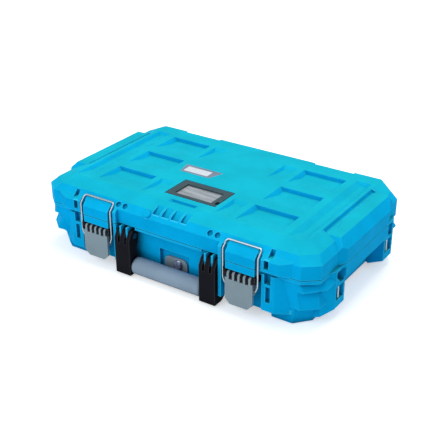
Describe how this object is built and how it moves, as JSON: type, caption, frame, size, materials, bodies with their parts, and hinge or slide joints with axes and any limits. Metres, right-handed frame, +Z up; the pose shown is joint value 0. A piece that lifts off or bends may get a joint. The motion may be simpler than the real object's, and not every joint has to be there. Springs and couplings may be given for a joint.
{
  "type": "hard tool case",
  "caption": "Flat hard-shell tool case with a hinged ribbed lid, wire-bail lever latches, a folding front handle, a key lock and a label window.",
  "frame": {"origin": "on the resting plane, below the middle of the case's bounding box", "axes": "+X along the front to the right, +Y from the latches to the hinges, +Z up"},
  "size_m": [0.5, 0.304, 0.12],
  "materials": {
    "case_blue": "fine-textured moulded plastic",
    "seal_black": "soft foam seal",
    "latch_grey": "moulded, satin",
    "wire_chrome": "polished",
    "pin_steel": "plain",
    "arm_black": "moulded, satin",
    "grip_grey": "soft-touch sleeve",
    "lock_grey": "moulded, satin",
    "lock_chrome": "polished",
    "cam_steel": "zinc-plated",
    "frame_grey": "moulded, satin",
    "card_white": "plain card",
    "window_clear": "clear sheet",
    "plate_pale": "plain, no lettering"
  },
  "bodies": {
    "base": {"base_shell": "case_blue", "left_latch_mount": "arm_black", "right_latch_mount": "arm_black", "left_latch_pin": "pin_steel", "right_latch_pin": "pin_steel", "left_handle_pin": "pin_steel", "right_handle_pin": "pin_steel", "left_hinge_pin": "pin_steel", "right_hinge_pin": "pin_steel", "lock_plate": "lock_grey", "side_bars": "wire_chrome"},
    "lid": {"lid_shell": "case_blue", "lid_seal": "seal_black", "lock_strike": "cam_steel", "label_frame": "frame_grey", "label_card": "card_white", "label_window": "window_clear", "name_plate_blank": "plate_pale", "pressure_valve": "case_blue"},
    "handle": {"handle_grip": "grip_grey", "handle_grip_rod": "pin_steel", "left_handle_arm": "arm_black", "right_handle_arm": "arm_black"},
    "lock": {"lock_plug": "lock_chrome", "lock_cam": "cam_steel"},
    "left_lever": {"left_latch_lever": "latch_grey"},
    "left_bail": {"left_latch_bail": "wire_chrome"},
    "right_lever": {"right_latch_lever": "latch_grey"},
    "right_bail": {"right_latch_bail": "wire_chrome"}
  },
  "joints": [
    {"name": "lid_hinge", "type": "hinge", "parent": "base", "child": "lid", "pos_m": [0, 0.1465, 0.08], "axis": [-1, 0, 0], "range_deg": [0, 105]},
    {"name": "handle_swing", "type": "hinge", "parent": "base", "child": "handle", "pos_m": [0, -0.139, 0.065], "axis": [-1, 0, 0], "range_deg": [0, 100]},
    {"name": "lock_turn", "type": "hinge", "parent": "base", "child": "lock", "pos_m": [0.005, -0.118, 0.0285], "axis": [0, 1, 0], "range_deg": [0, 90]},
    {"name": "left_latch_lever_pivot", "type": "hinge", "parent": "base", "child": "left_lever", "pos_m": [-0.12925, -0.1468, 0.062], "axis": [-1, 0, 0], "range_deg": [0, 120]},
    {"name": "left_latch_bail_pivot", "type": "hinge", "parent": "left_lever", "child": "left_bail", "pos_m": [-0.12925, -0.1468, 0.045], "axis": [1, 0, 0], "range_deg": [0, 144]},
    {"name": "right_latch_lever_pivot", "type": "hinge", "parent": "base", "child": "right_lever", "pos_m": [0.12925, -0.1468, 0.062], "axis": [-1, 0, 0], "range_deg": [0, 120]},
    {"name": "right_latch_bail_pivot", "type": "hinge", "parent": "right_lever", "child": "right_bail", "pos_m": [0.12925, -0.1468, 0.045], "axis": [1, 0, 0], "range_deg": [0, 144]}
  ],
  "couplings": [
    {"joint": "left_latch_bail_pivot", "follows": "left_latch_lever_pivot", "ratio": 1.2},
    {"joint": "right_latch_bail_pivot", "follows": "right_latch_lever_pivot", "ratio": 1.2}
  ]
}
